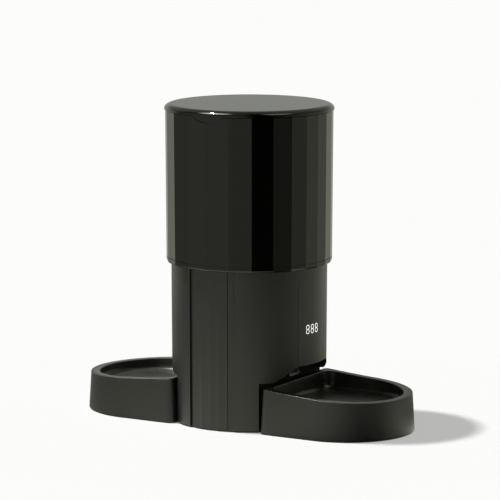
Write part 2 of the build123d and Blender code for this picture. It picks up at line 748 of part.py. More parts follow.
def make_lid_seal():
    """Soft ring in the groove of the lid plug."""
    r = plug_radius()
    seal_z = HOPPER_TOP_Z - SEAL_Z_OFFSET
    lip = hopper_inner(seal_z) - LOOSE
    root = r - SEAL_GROOVE + FIT
    points = [
        (root, seal_z - SEAL_HEIGHT / 2), (r, seal_z - SEAL_HEIGHT / 2),
        (lip, seal_z - SEAL_LIP / 2), (lip, seal_z + SEAL_LIP / 2), (r, seal_z + SEAL_HEIGHT / 2),
        (root, seal_z + SEAL_HEIGHT / 2),
    ]
    return turned(points)


def make_desiccant_cup():
    """Cup under the middle of the lid for a drying bag."""
    top = LID_TOP_Z - LID_SKIN
    bottom = HOPPER_TOP_Z - DESICCANT_DEPTH
    return ring(DESICCANT_R, DESICCANT_R - DESICCANT_WALL, bottom, top)


def make_desiccant_cap():
    """Slotted cap that twists into the foot of the cup."""
    z1 = HOPPER_TOP_Z - DESICCANT_DEPTH - FIT
    z0 = z1 - CAP_THICKNESS
    cap = disc(DESICCANT_R, z0, z1)
    neck = DESICCANT_R - DESICCANT_WALL - LOOSE
    cap += ring(neck, neck - CAP_NECK_WALL, z1 - 0.5, z1 + CAP_NECK)
    for k in range(CAP_SLOTS):
        slot = extrude(SlotOverall(CAP_SLOT_LENGTH, CAP_SLOT_WIDTH), CAP_THICKNESS + 3)
        cap -= Rot(0, 0, 360 / CAP_SLOTS * k) * Pos(CAP_SLOT_R, 0, z0 - 1) * slot
    half = CAP_GRIP_LENGTH / 2
    grip = block(-half, half, -CAP_GRIP_WIDTH / 2, CAP_GRIP_WIDTH / 2, z0 - CAP_GRIP_DEPTH, z0 + 0.5)
    return cap + grip


def gear_face(teeth):
    """Involute outline with its play taken off both flanks, one tooth pointing along +X."""
    pitch_r = MODULE * teeth / 2
    base_r = pitch_r * cos(radians(PRESSURE_ANGLE))
    tip_r = pitch_r + 0.95 * MODULE
    root_r = pitch_r - 1.25 * MODULE
    half = pi / (2 * teeth) - BACKLASH / (2 * pitch_r)
    roll = tan(radians(PRESSURE_ANGLE)) - radians(PRESSURE_ANGLE)
    start_r = max(base_r, root_r)
    steps = 5
    flank = []
    for k in range(steps + 1):
        r = start_r + (tip_r - start_r) * k / steps
        press = acos(min(1.0, base_r / r))
        flank.append((r, half + roll - (tan(press) - press)))
    if root_r < start_r:
        flank.insert(0, (root_r, flank[0][1]))
    points = []
    for tooth in range(teeth):
        middle = 2 * pi * tooth / teeth
        for r, angle in flank:
            points.append((r * cos(middle - angle), r * sin(middle - angle)))
        for r, angle in reversed(flank):
            points.append((r * cos(middle + angle), r * sin(middle + angle)))
    return make_face(Polyline(points, close=True))


def gear(teeth, tooth_angle, y, z0, z1):
    """Spur gear on an upright axis, with a tooth at tooth_angle from +X."""
    return Pos(0, y, z0) * Rot(0, 0, tooth_angle) * extrude(gear_face(teeth), z1 - z0)


def make_output_gear():
    """Gear on the wheel shaft."""
    body = gear(WHEEL_TEETH, 90, 0, UPPER_GEAR_Z, UPPER_GEAR_Z + GEAR_FACE)
    return body - disc(SHAFT_R + FIT / 2, 0, FAR)


def make_idler_gear():
    """Double gear between the motor pinion and the wheel shaft."""
    y = GEAR_CENTRES
    wheel = gear(WHEEL_TEETH, 90, y, LOWER_GEAR_Z, LOWER_GEAR_Z + GEAR_FACE)
    top = UPPER_GEAR_Z + GEAR_FACE + 1
    small = gear(PINION_TEETH, -90 + 180 / PINION_TEETH, y, LOWER_GEAR_Z + GEAR_FACE - 0.5, top)
    hub = disc(AXLE_R + IDLER_HUB, GEAR_PLATE_TOP_Z + LOOSE, LOWER_GEAR_Z + 0.5, 0, y)
    return wheel + small + hub - disc(AXLE_R + FIT, 0, FAR, 0, y)


def make_idler_axle():
    """Pin of the double gear, set in the gear plate and steadied by the chamber floor."""
    return disc(AXLE_R, GEAR_PLATE_TOP_Z - GEAR_PLATE, CHAMBER_BOTTOM_Z, 0, GEAR_CENTRES)


def make_motor_pinion():
    """Pinion on the motor shaft."""
    phase = -90 + 180 / PINION_TEETH
    body = gear(PINION_TEETH, phase, MOTOR_Y, LOWER_GEAR_Z - 1, LOWER_GEAR_Z + GEAR_FACE + 1)
    return body - disc(MOTOR_SHAFT_R + FIT / 2, 0, FAR, 0, MOTOR_Y)


def make_motor_shaft():
    """Shaft of the motor."""
    bottom = GEAR_PLATE_TOP_Z - GEAR_PLATE - MOTOR_SHAFT_SINK
    return disc(MOTOR_SHAFT_R, bottom, LOWER_GEAR_Z + GEAR_FACE + 2, 0, MOTOR_Y)


def make_motor():
    """Motor can hung under the gear plate."""
    top = GEAR_PLATE_TOP_Z - GEAR_PLATE
    can = disc(MOTOR_R, top - MOTOR_LENGTH, top, 0, MOTOR_Y)
    can = chamfer(can.edges().group_by(Axis.Z)[0], MOTOR_CHAMFER)
    end_z = top - MOTOR_LENGTH
    can += disc(MOTOR_END_R, end_z - MOTOR_END, end_z + 0.5, 0, MOTOR_Y)
    return can - disc(MOTOR_SHAFT_R + FIT, top - MOTOR_SHAFT_SINK - LOOSE, FAR, 0, MOTOR_Y)


def post_points():
    """Places of the posts between the gear plate and the chamber floor."""
    half = GEAR_PLATE_HALF_WIDTH - POST_R - POST_MARGIN
    wheel_r = MODULE * WHEEL_TEETH / 2 + MODULE
    return [(sx * half, y) for sx in (-1, 1) for y in (-wheel_r, MOTOR_Y + MOTOR_R)]


def deck_outline():
    """Plan of the gear plate and of the tab on the chamber floor above it."""
    (_, y0), (_, y1) = post_points()[:2]
    margin = POST_R + POST_MARGIN
    length = y1 - y0 + 2 * margin
    return Pos(0, (y0 + y1) / 2) * RectangleRounded(2 * GEAR_PLATE_HALF_WIDTH, length, margin)


def make_gear_plate():
    """Plate that carries the motor and the double gear, with its four posts."""
    z0 = GEAR_PLATE_TOP_Z - GEAR_PLATE
    plate = Pos(0, 0, z0) * extrude(deck_outline(), GEAR_PLATE)
    for x, y in post_points():
        plate += disc(POST_R, z0 + 1, CHAMBER_BOTTOM_Z, x, y)
        plate -= disc(SCREW_R + FIT, z0 - 1, z0 + SCREW_LENGTH + 1, x, y)
    plate -= disc(AXLE_R + FIT / 2, 0, FAR, 0, GEAR_CENTRES)
    return plate - disc(MOTOR_SHAFT_R + 2, 0, FAR, 0, MOTOR_Y)


def make_gear_screws():
    """Screws through the gear plate into its posts."""
    z = GEAR_PLATE_TOP_Z - GEAR_PLATE - SCREW_HEAD
    return Compound(children=[screw(x, y, z) for x, y in post_points()])


def make_chamber():
    """Cup round the portion wheel, hung from the housing ledge, with two outlets."""
    flange_r = base_radius(FLANGE_Z) - BASE_WALL - PANEL_FLANGE_THICKNESS - 2 * LOOSE
    outer = CHAMBER_R + CHAMBER_WALL
    cup = disc(outer, CHAMBER_BOTTOM_Z, FLANGE_Z + CHAMBER_FLOOR)
    cup -= disc(CHAMBER_R, CHAMBER_FLOOR_Z, FAR)
    cup += ring(flange_r, CHAMBER_R, FLANGE_Z, FLANGE_Z + CHAMBER_FLOOR)
    deck = Pos(0, 0, CHAMBER_BOTTOM_Z) * extrude(deck_outline(), CHAMBER_FLOOR)
    cup += deck - disc(CHAMBER_R, 0, FAR)
    outlet = Pos(OUTLET_X + CHUTE_DEPTH / 2, 0, 0) * RectangleRounded(
        CHUTE_DEPTH - 2 * OUTLET_INSET, CHUTE_WIDTH - 5 * OUTLET_INSET, CHUTE_CORNER - 2 * OUTLET_INSET
    )
    hole = Pos(0, 0, CHAMBER_BOTTOM_Z - 1) * extrude(outlet, CHAMBER_FLOOR + 2)
    cup -= hole
    cup -= mirrored(hole)
    return cup - disc(SHAFT_R + BUSH_WALL + FIT / 2, 0, FAR)


def make_bush():
    """Flanged bush for the wheel shaft in the chamber floor."""
    top = CHAMBER_FLOOR_Z + BUSH_FLANGE
    r = SHAFT_R + BUSH_WALL
    bush = disc(r, CHAMBER_BOTTOM_Z - BUSH_DROP, top)
    bush += disc(r + BUSH_FLANGE_WIDTH, CHAMBER_FLOOR_Z, top)
    return bush - disc(SHAFT_R + FIT, 0, FAR)


def make_rotor():
    """Portion wheel: a hub with a pointed top and straight vanes."""
    z0 = CHAMBER_FLOOR_Z + BUSH_FLANGE + LOOSE
    z1 = z0 + ROTOR_HEIGHT
    points = [(0, z0), (ROTOR_HUB_R, z0), (ROTOR_HUB_R, z1), (ROTOR_POINT_R, z1 + ROTOR_POINT),
              (0, z1 + ROTOR_POINT)]
    wheel = turned(points)
    for k in range(ROTOR_VANES):
        vane = block(ROTOR_HUB_R - 1, CHAMBER_R - ROTOR_PLAY, -VANE_THICKNESS / 2, VANE_THICKNESS / 2, z0, z1)
        wheel += Rot(0, 0, 360 / ROTOR_VANES * k) * vane
    return wheel - disc(SHAFT_R + FIT / 2, z0 - 1, z1 - ROTOR_BORE_CAP)


def make_rotor_shaft():
    """Shaft from the gear train up into the portion wheel."""
    top = CHAMBER_FLOOR_Z + BUSH_FLANGE + LOOSE + ROTOR_HEIGHT - ROTOR_BORE_CAP
    return disc(SHAFT_R, UPPER_GEAR_Z - 1.5, top)


def make_chute():
    """Leaning chute at +X, cut so that its floor ends in a lip under the hood."""
    tube = chute_tube(CHUTE_WALL) - chute_tube(0)
    tube &= block(0, FAR, -FAR, FAR, 0, CHAMBER_BOTTOM_Z)
    meet_z = HOOD_TOP_Z
    meet = LIP_X + CHUTE_DEPTH + CHUTE_WALL - CHUTE_LEAN * (meet_z - LIP_Z)
    corners = [(-FAR, -FAR), (-FAR, LIP_Z), (LIP_X, LIP_Z), (meet, meet_z), (FAR, meet_z), (FAR, -FAR)]
    below = extrude(Plane.XZ * make_face(Polyline(corners, close=True)), FAR, both=True)
    return tube - below


def tray_outline(inset, back_inset, corner):
    """D-shaped plan of the tray at +X, inset on its sides and end."""
    half = TRAY_HALF_WIDTH - inset
    x0 = TRAY_BACK_X + back_inset
    centre = TRAY_END_CENTRE
    end = ThreePointArc((centre, -half), (centre + half, 0), (centre, half))
    sides = Polyline((centre, half), (x0, half), (x0, -half), (centre, -half))
    face = make_face(end + sides)
    corners = face.vertices().filter_by_position(Axis.X, x0 - 0.1, x0 + 0.1)
    return fillet(corners, corner)


def tray_block(inset, back_inset, corner, z0, z1, taper):
    """Tapered D-shaped block between two heights."""
    return Pos(0, 0, z0) * extrude(tray_outline(inset, back_inset, corner), z1 - z0, taper=taper)


def under_rim(drop):
    """Everything below the swept rim line, lowered by drop."""
    x0 = TRAY_BACK_X - TRAY_CORNER
    tip = TRAY_END_CENTRE + TRAY_HALF_WIDTH
    start, half_way, end = [(x, rim_height(x) - drop) for x in (x0, (x0 + tip) / 2, tip)]
    arc = ThreePointArc(start, half_way, end)
    rest = Polyline(end, (FAR, end[1]), (FAR, -FAR), (x0, -FAR), start)
    return extrude(Plane.XZ * make_face(arc + rest), FAR, both=True)


def tray_lean(z):
    """How far the leaning tray wall has come in at height z."""
    return (z - TRAY_FOOT) * tan(radians(TRAY_TAPER))


def rim_height(x):
    """Height of the swept rim line at x."""
    reach = TRAY_END_CENTRE + TRAY_HALF_WIDTH - x
    return RIM_Z + RIM_RISE * reach + reach ** 2 / (2 * RIM_ARC_R)


def rim_edges(shape, least_inset):
    """Top edges that lie at least this far inside the tray's outline at the rim."""
    lean = tray_lean(RIM_Z)
    outline = tray_outline(lean, lean, TRAY_CORNER - lean).face().outer_wire()
    chosen = []
    for edge in shape.edges():
        middle = edge.center()
        if middle.Z < RIM_Z - 0.1:
            continue
        if outline.distance_to(Vertex(middle.X, middle.Y, 0)) >= least_inset:
            chosen.append(edge)
    return chosen


def make_tray():
    """Outer tray of the bowl, with a thin upstand round the liner and a tongue for the dock."""
    top = RIM_Z + STOCK_HEIGHT
    body = tray_block(0, 0, TRAY_CORNER, TRAY_FOOT, top, TRAY_TAPER) & under_rim(0)
    body = fillet(rim_edges(body, 0), RIM_ROUND)
    shelf = tray_block(RIM_EDGE, RIM_EDGE, TRAY_CORNER - RIM_EDGE, TRAY_FOOT, top, TRAY_TAPER)
    body -= shelf - under_rim(FLANGE_THICKNESS + FIT)
    floor_z = TRAY_FOOT + TRAY_FLOOR
    body -= tray_block(TRAY_WALL, TRAY_WALL, TRAY_CORNER - TRAY_WALL, floor_z, top, TRAY_TAPER)
    half = TONGUE_WIDTH / 2
    tall = TONGUE_HEIGHT / 2
    body += block(
        TRAY_BACK_X - TONGUE_LENGTH, TRAY_BACK_X + TRAY_WALL - 0.5, -half, half,
        TONGUE_Z - tall, TONGUE_Z + tall
    )
    return body


def make_bowl():
    """Liner of the bowl with a broad rim, resting on the shelf of the tray."""
    top = RIM_Z + STOCK_HEIGHT
    edge = RIM_EDGE + SEAM
    plate = tray_block(edge, edge, TRAY_CORNER - edge, TRAY_FOOT, top, TRAY_TAPER)
    spread = (top - RIM_Z) * tan(radians(BOWL_TAPER))
    side = tray_lean(RIM_Z) + edge + FLANGE_WIDTH - spread
    back_z = rim_height(TRAY_BACK_X)
    back = tray_lean(back_z) + TRAY_WALL + LOOSE + BOWL_WALL
    back += (back_z - RIM_Z) * tan(radians(BOWL_TAPER)) - spread
    corner = BOWL_CORNER + spread
    cavity = Pos(0, 0, top) * extrude(
        tray_outline(side, back, corner), BOWL_FLOOR_Z - top, taper=BOWL_TAPER
    )
    cup = Pos(0, 0, top) * extrude(
        tray_outline(side - BOWL_WALL, back - BOWL_WALL, corner + BOWL_WALL),
        BOWL_FLOOR_Z - BOWL_WALL - top, taper=BOWL_TAPER
    )
    cavity = fillet(cavity.edges().group_by(Axis.Z)[0], BOWL_FLOOR_ROUND)
    cup = fillet(cup.edges().group_by(Axis.Z)[0], BOWL_FLOOR_ROUND + BOWL_WALL)
    solid = (plate & under_rim(0)) - cavity
    solid = fillet(rim_edges(solid, edge + CAVITY_ROUND), CAVITY_ROUND)
    flange = solid - under_rim(FLANGE_THICKNESS)
    return flange + ((cup & under_rim(FLANGE_THICKNESS - 0.5)) - cavity)


def make_tray_feet(side):
    """Soft pads under the tray at +X or, with side -1, at -X."""
    back_x = TRAY_BACK_X + PAD_BACK
    side_y = TRAY_HALF_WIDTH - PAD_SIDE
    end_x = TRAY_END_CENTRE + TRAY_HALF_WIDTH - PAD_END
    places = [(back_x, -side_y), (back_x, side_y), (end_x, 0)]
    return Compound(children=[disc(PAD_R, 0, TRAY_FOOT, side * x, y) for x, y in places])


def board_points():
    """Places of the standoffs under the main board."""
    dx = BOARD_LENGTH / 2 - STANDOFF_INSET
    dy = BOARD_WIDTH / 2 - STANDOFF_INSET
    return [(sx * dx, BOARD_Y + sy * dy) for sx in (-1, 1) for sy in (-1, 1)]


def make_main_board():
    """Control board on its standoffs."""
    z0 = PLATE_TOP_Z + BOARD_LIFT
    board = block(
        -BOARD_LENGTH / 2, BOARD_LENGTH / 2, BOARD_Y - BOARD_WIDTH / 2, BOARD_Y + BOARD_WIDTH / 2,
        z0, z0 + BOARD_THICKNESS
    )
    for x, y in board_points():
        board -= disc(SCREW_R + LOOSE, 0, FAR, x, y)
    return board


def make_board_parts():
    """Chip, capacitor, relay and plugs on the main board."""
    z = PLATE_TOP_Z + BOARD_LIFT + BOARD_THICKNESS
    return Compound(children=[
        Pos(0, BOARD_Y, z + CHIP_HEIGHT / 2) * Box(CHIP_SIZE, CHIP_SIZE, CHIP_HEIGHT),
        Pos(PART_X, BOARD_Y - 2, z + RELAY[2] / 2) * Box(*RELAY),
        Pos(-PART_X, BOARD_Y, z + PLUG_BLOCK[2] / 2) * Box(*PLUG_BLOCK),
        disc(CAPACITOR_R, z, z + CAPACITOR_HEIGHT, PART_X - 3, BOARD_Y + CAPACITOR_Y),
        disc(CAPACITOR_R - 1, z, z + CAPACITOR_HEIGHT - 3, 5 - PART_X, BOARD_Y + CAPACITOR_Y),
    ])


def make_board_screws():
    """Screws that hold the main board."""
    z = PLATE_TOP_Z + BOARD_LIFT + BOARD_THICKNESS + SCREW_HEAD
    short = []
    for x, y in board_points():
        body = screw(x, y, z, up=False)
        short.append(body & disc(SCREW_HEAD_R + 1, z - SCREW_HEAD - BOARD_SCREW_LENGTH, z + 1, x, y))
    return Compound(children=short)


def make_power_jack():
    """Low-voltage inlet in the back wall, with its collar and centre pin."""
    inner = base_radius(JACK_Z) - BASE_WALL
    face_y = base_radius(JACK_Z) - JACK_SET_BACK
    half = JACK_SIZE / 2
    seat = sqrt(inner ** 2 - half ** 2) - FIT
    body = block(-half, half, seat - JACK_DEPTH, seat, JACK_Z - half, JACK_Z + half)
    axis = Pos(0, 0, JACK_Z) * Rot(-90, 0, 0)
    body += axis * disc(JACK_COLLAR_R, seat - 1, face_y)
    end_y = face_y - JACK_BORE_DEPTH
    body -= axis * disc(JACK_BORE_R, end_y, face_y + 1)
    return body + axis * disc(JACK_PIN_R, end_y - 0.5, face_y - 2)


def make_jack_bracket():
    """Shelf on the base plate that carries the inlet."""
    half = JACK_SIZE / 2
    seat = sqrt((base_radius(JACK_Z) - BASE_WALL) ** 2 - half ** 2) - FIT
    return block(-half, half, seat - JACK_DEPTH + 1, seat - 3, PLATE_TOP_Z, JACK_Z - half)


parts = {
    "housing_shell": make_housing(),
    "front_panel": make_front_panel(),
    "display_panel": make_display_panel(),
    "display_led_block": make_led_block(),
    "display_board": make_display_board(),
    "display_board_posts": make_display_clips(),
    "base_plate": make_base_plate(),
    "base_feet": make_feet(),
    "base_screws": make_base_screws(),
    "battery_box": make_battery_box(),
    "battery_door": make_battery_door(),
    "battery_cells": make_cells(),
    "battery_contacts": make_contacts(),
    "collar_ring": make_collar(),
    "hopper_shell": make_hopper(),
    "hopper_funnel": make_funnel(),
    "lid_cover": make_lid(),
    "lid_plug_ring": make_lid_plug(),
    "lid_seal": make_lid_seal(),
    "desiccant_cup": make_desiccant_cup(),
    "desiccant_cap": make_desiccant_cap(),
    "dispenser_chamber": make_chamber(),
    "shaft_bush": make_bush(),
    "portion_wheel": make_rotor(),
    "wheel_shaft": make_rotor_shaft(),
    "output_gear": make_output_gear(),
    "idler_gear": make_idler_gear(),
    "idler_axle": make_idler_axle(),
    "motor_pinion": make_motor_pinion(),
    "motor_shaft": make_motor_shaft(),
    "motor": make_motor(),
    "gear_plate": make_gear_plate(),
    "gear_plate_screws": make_gear_screws(),
    "main_board": make_main_board(),
    "main_board_parts": make_board_parts(),
    "main_board_screws": make_board_screws(),
    "power_jack": make_power_jack(),
    "power_jack_shelf": make_jack_bracket(),
}
chute = make_chute()
tray = make_tray()
bowl = make_bowl()
parts["chute_right"] = chute
parts["chute_left"] = mirrored(chute)
parts["tray_right"] = tray
parts["tray_left"] = mirrored(tray)
parts["bowl_right"] = bowl
parts["bowl_left"] = mirrored(bowl)
parts["tray_feet_right"] = make_tray_feet(1)
parts["tray_feet_left"] = make_tray_feet(-1)

os.makedirs("parts", exist_ok=True)
for name, shape in parts.items():
    export_step(shape, f"parts/{name}.step")
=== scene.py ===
"""Looks of an automatic pet feeder: finishes, display figures and a small white studio."""

import math

import bmesh
import bpy
from bpy.props import FloatProperty, FloatVectorProperty, PointerProperty
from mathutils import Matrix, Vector
from mathutils.bvhtree import BVHTree


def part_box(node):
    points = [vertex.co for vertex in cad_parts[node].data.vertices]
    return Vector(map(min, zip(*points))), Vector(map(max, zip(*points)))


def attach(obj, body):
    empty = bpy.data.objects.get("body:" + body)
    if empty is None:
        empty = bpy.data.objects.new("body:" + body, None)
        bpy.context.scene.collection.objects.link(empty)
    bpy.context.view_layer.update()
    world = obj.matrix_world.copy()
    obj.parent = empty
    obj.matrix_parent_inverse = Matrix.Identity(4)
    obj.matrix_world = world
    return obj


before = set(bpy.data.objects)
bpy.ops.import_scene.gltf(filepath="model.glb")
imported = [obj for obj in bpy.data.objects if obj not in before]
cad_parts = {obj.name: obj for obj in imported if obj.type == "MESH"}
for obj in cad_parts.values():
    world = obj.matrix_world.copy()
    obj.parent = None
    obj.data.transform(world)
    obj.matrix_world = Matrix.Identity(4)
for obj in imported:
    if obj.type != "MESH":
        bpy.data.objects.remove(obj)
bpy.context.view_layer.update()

bl_info = {
    "name": "Pet feeder looks",
    "version": (1, 0, 0),
    "blender": (4, 5, 0),
    "location": "3D View > Sidebar > Feeder",
    "description": "Dresses the pet feeder in its finishes and sets it in a white studio",
    "category": "Object",
}


def plain_colour(name, words, value):
    """Colour property of a finish."""
    return FloatVectorProperty(
        name=name, description=words, default=value, size=3, min=0.0, max=1.0, subtype="COLOR"
    )


def length(name, words, value):
    """Length property in metres."""
    return FloatProperty(name=name, description=words, default=value, min=0.0, precision=5, unit="LENGTH")


def angle(name, words, degrees):
    """Angle property, given in degrees."""
    return FloatProperty(
        name=name, description=words, default=math.radians(degrees), subtype="ANGLE", unit="ROTATION"
    )


def share(name, words, value):
    """Plain number from nothing to one."""
    return FloatProperty(
        name=name, description=words, default=value, min=0.0, max=1.0, precision=4, subtype="FACTOR"
    )


def strength(name, words, value):
    """Strength of a light, with no upper end."""
    return FloatProperty(name=name, description=words, default=value, min=0.0, precision=4)


class FeederFinish(bpy.types.PropertyGroup):
    """Colours and gloss of the feeder's plastics, rubbers and metals."""

    hopper_colour: plain_colour("Hopper", "Polished black of hopper and lid", (0.0007, 0.0007, 0.0006))
    hopper_gloss: share("Hopper roughness", "Roughness of the polished plastic", 0.08)
    base_colour: plain_colour("Base", "Satin black of the base and trays", (0.012, 0.012, 0.0115))
    base_gloss: share("Base roughness", "Roughness of the satin plastic", 0.36)
    foot_reach: length("Foot reach", "Radius of the housing's leaning wall at the floor", 0.0849)
    chute_colour: plain_colour("Chutes", "Smoother black of the chutes", (0.03, 0.03, 0.029))
    chute_gloss: share("Chute roughness", "Roughness of the chutes", 0.14)
    liner_colour: plain_colour("Bowl liner", "Satin black of the bowl liners", (0.042, 0.042, 0.040))
    liner_gloss: share("Liner roughness", "Roughness of the bowl liners", 0.28)
    window_colour: plain_colour("Display window", "Smoked black of the window", (0.012, 0.012, 0.012))
    figure_colour: plain_colour("Figures", "Lit white of the display figures", (0.86, 0.87, 0.86))
    figure_light: strength("Figure light", "How strongly the figures shine", 1.05)
    inner_colour: plain_colour("Inner plastic", "Moulded grey of the hidden pieces", (0.16, 0.165, 0.17))
    gear_colour: plain_colour("Gears", "Natural white of the acetal gears", (0.78, 0.77, 0.72))
    wheel_colour: plain_colour("Portion wheel", "Black rubber of the wheel", (0.035, 0.035, 0.036))
    pad_colour: plain_colour("Feet and pads", "Black rubber that touches the floor", (0.03, 0.03, 0.03))
    seal_colour: plain_colour("Seal", "Grey silicone of the lid's seal", (0.55, 0.56, 0.56))
    steel_colour: plain_colour("Steel", "Steel of the motor, shafts and screws", (0.56, 0.56, 0.55))
    brass_colour: plain_colour("Brass", "Brass of the pinion and the bush", (0.72, 0.55, 0.28))
    board_colour: plain_colour("Boards", "Green lacquer of the circuit boards", (0.03, 0.16, 0.07))
    chip_colour: plain_colour("Board parts", "Black of the moulded board parts", (0.02, 0.02, 0.02))
    sleeve_colour: plain_colour("Cell sleeve", "Grey print of the cells' sleeves", (0.32, 0.33, 0.35))
    band_colour: plain_colour("Cell band", "Coppery band at the cells' ends", (0.55, 0.42, 0.2))
    band_length: length("Cell band length", "Length of the band and the cell's nub together", 0.01275)


class FeederFigures(bpy.types.PropertyGroup):
    """Sizes of the three lit figures on the display window."""

    height: length("Height", "Height of a figure", 0.0102)
    width: length("Width", "Width of a figure", 0.0056)
    stroke: length("Stroke", "Width of a figure's line", 0.00078)
    pitch: length("Pitch", "Distance from figure to figure", 0.00795)
    proud: length("Proud", "How far the printed figure stands off the window", 0.00008)
    bearing: angle("Bearing", "Middle of the figures, from the front towards +X", 83.8)
    level: length("Level", "Height of the figures above the floor", 0.1088)


class FeederStudio(bpy.types.PropertyGroup):
    """Camera, lamp, light panels and floor of the studio."""

    bearing: angle("Camera bearing", "Camera's bearing from the front towards +X", 30.39)
    distance: length("Camera distance", "Camera's distance along the floor", 3.5487)
    height: length("Camera height", "Camera's height above the floor", 0.7398)
    pitch: angle("Camera pitch", "How far the camera looks down", 8.85)
    turn: angle("Camera turn", "Small turn that sets the feeder left of the middle", 0.0123)
    lens: FloatProperty(name="Lens", description="Focal length", default=235.3, min=1.0, unit="CAMERA")
    key_power: strength("Key", "Strength of the lamp on the left", 3.7)
    key_bearing: angle("Key bearing", "Bearing of the lamp from the camera, towards the left", 108.0)
    key_height: angle("Key height", "How high the lamp stands", 64.0)
    key_softness: angle("Key softness", "How wide the lamp looks from the feeder", 3.0)
    fill: strength("Fill", "Brightness of the white studio round the feeder", 1.0)
    panel_height: angle("Panel height", "How high the two light panels hang", 62.0)
    panel_spread: angle("Panel spread", "How wide a light panel looks from the feeder", 17.0)
    left_panel: angle("Left panel", "Bearing of the left panel from the camera", -88.0)
    left_power: strength("Left panel light", "Brightness of the left panel", 9.0)
    right_panel: angle("Right panel", "Bearing of the right panel from the camera", 65.0)
    right_power: strength("Right panel light", "Brightness of the right panel", 2.0)
    ceiling: share("Mirrored ceiling", "Brightness overhead in reflections, as a share of the walls", 0.6)
    plain_ceiling: share("Ceiling", "Brightness overhead for all other light", 0.12)
    floor_glow: strength("Floor glow", "Brightness of the floor in reflections", 1.0)
    floor_radius: length("Floor radius", "Reach of the pale floor", 0.9)
    floor_tone: share("Floor tone", "How pale the floor is", 0.86)
    floor_white: share("Floor white", "Share of background white in the floor by the feeder", 0.46)
    contact_reach: length("Contact reach", "How near a piece has to be to darken the floor", 0.012)


def set_stops(elements, stops):
    """Put stops on a ramp, each a place from 0 to 1 and its level."""
    for place, level in stops[1:-1]:
        elements.new(place).color = (level, level, level, 1.0)
    for end, (place, level) in ((elements[0], stops[0]), (elements[-1], stops[-1])):
        end.position = place
        end.color = (level, level, level, 1.0)


def tone(colour, factor):
    """Colour made lighter or darker, with full alpha."""
    return tuple(min(1.0, value * factor) for value in colour[:3]) + (1.0,)


class Shade:
    """Output socket of a shader tree that takes part in Python arithmetic."""

    def __init__(self, tree, socket=None):
        self.tree = tree
        self.socket = socket

    def add(self, kind, settings=None, values=None, out=0):
        """Make a node: its settings first, then the values or links of its sockets."""
        node = self.tree.nodes.new(kind)
        for key, value in (settings or {}).items():
            if key == "stops":
                set_stops(node.color_ramp.elements, value)
            else:
                setattr(node, key, value)
        for key, value in (values or {}).items():
            if isinstance(value, Shade):
                self.tree.links.new(value.socket, node.inputs[key])
            else:
                node.inputs[key].default_value = value
        return Shade(self.tree, node.outputs[out] if len(node.outputs) else None)

    def work(self, operation, first, second):
        """One Math node."""
        return self.add("ShaderNodeMath", {"operation": operation}, {0: first, 1: second})

    def __add__(self, other):
        return self.work("ADD", self, other)

    def __radd__(self, other):
        return self.work("ADD", other, self)

    def __sub__(self, other):
        return self.work("SUBTRACT", self, other)

    def __rsub__(self, other):
        return self.work("SUBTRACT", other, self)

    def __mul__(self, other):
        return self.work("MULTIPLY", self, other)

    def __rmul__(self, other):
        return self.work("MULTIPLY", other, self)

    def __truediv__(self, other):
        return self.work("DIVIDE", self, other)

    def __rtruediv__(self, other):
        return self.work("DIVIDE", other, self)

    def step(self, start, end):
        """Smooth change from 0 to 1 while the value goes from start to end."""
        return self.add(
            "ShaderNodeMapRange", {"interpolation_type": "SMOOTHSTEP", "clamp": True},
            {"Value": self, "From Min": start, "From Max": end, "To Min": 0.0, "To Max": 1.0},
        )

    def blend(self, low, high):
        """Colour between two colours, with this value as the share of the second."""
        return self.add("ShaderNodeMix", {"data_type": "RGBA"}, {0: self, 6: low, 7: high}, out=2)

    def tint(self, colour, darkest, lightest):
        """One colour in tones that follow this value."""
        return self.blend(tone(colour, darkest), tone(colour, lightest))

    def ramp(self, stops):
        """Level that runs straight from stop to stop, each a place from 0 to 1 and its level."""
        return self.add("ShaderNodeValToRGB", {"stops": stops}, {0: self})

    def relief(self, power, depth):
        """Normal of a surface with this value as its height, in a depth given in metres."""
        return self.add("ShaderNodeBump", {}, {"Strength": power, "Distance": depth, "Height": self})

    def vector(self, operation, other=(0.0, 0.0, 0.0), out="Vector"):
        """One Vector Math node that starts from this vector."""
        return self.add("ShaderNodeVectorMath", {"operation": operation}, {0: self, 1: other}, out)

    def dot(self, other):
        """Dot product of this vector and another."""
        return self.vector("DOT_PRODUCT", other, out="Value")

    def extent(self):
        """Length of this vector."""
        return self.vector("LENGTH", out="Value")

    def grain(self, place, per_metre, detail=2.0):
        """Noise of a stated number of grains per metre."""
        return self.add(
            "ShaderNodeTexNoise", {"noise_dimensions": "3D"},
            {"Vector": place, "Scale": per_metre, "Detail": detail, "Roughness": 0.55},
        )


def new_finish(name):
    """Empty material, the start of its shader tree and the place of a point on the piece."""
    material = bpy.data.materials.new(name)
    material.use_nodes = True
    material.node_tree.nodes.clear()
    shade = Shade(material.node_tree)
    return material, shade, shade.add("ShaderNodeTexCoord", out="Object")


def principled(shade, sockets):
    """Principled surface."""
    return shade.add("ShaderNodeBsdfPrincipled", {}, sockets)


def close_finish(shade, surface):
    """Output at the end of a material."""
    shade.add("ShaderNodeOutputMaterial", {}, {"Surface": surface})


PLASTIC_IOR = 1.5
SATIN_GRAINS = 2600.0
# How far the tone and the roughness of moulded plastic wander to either side.
MOULD_MOTTLE = 0.1
MOULD_SPREAD = 0.06
# Metres behind the housing's outer wall at which satin starts to give way to dull plastic with painted
# shade, and has given way fully.
SATIN_TO_PAINTED_SHADE = (0.0011, 0.0017)
# Stretch of the fine lines in metal, which run along +Z or along +Y.
LINES_UP = (1.0, 1.0, 0.06)
LINES_ACROSS = (1.0, 0.06, 1.0)
# Half the width, in metres, in which the cells' sleeve changes to its band.
BAND_EDGE = 0.0001


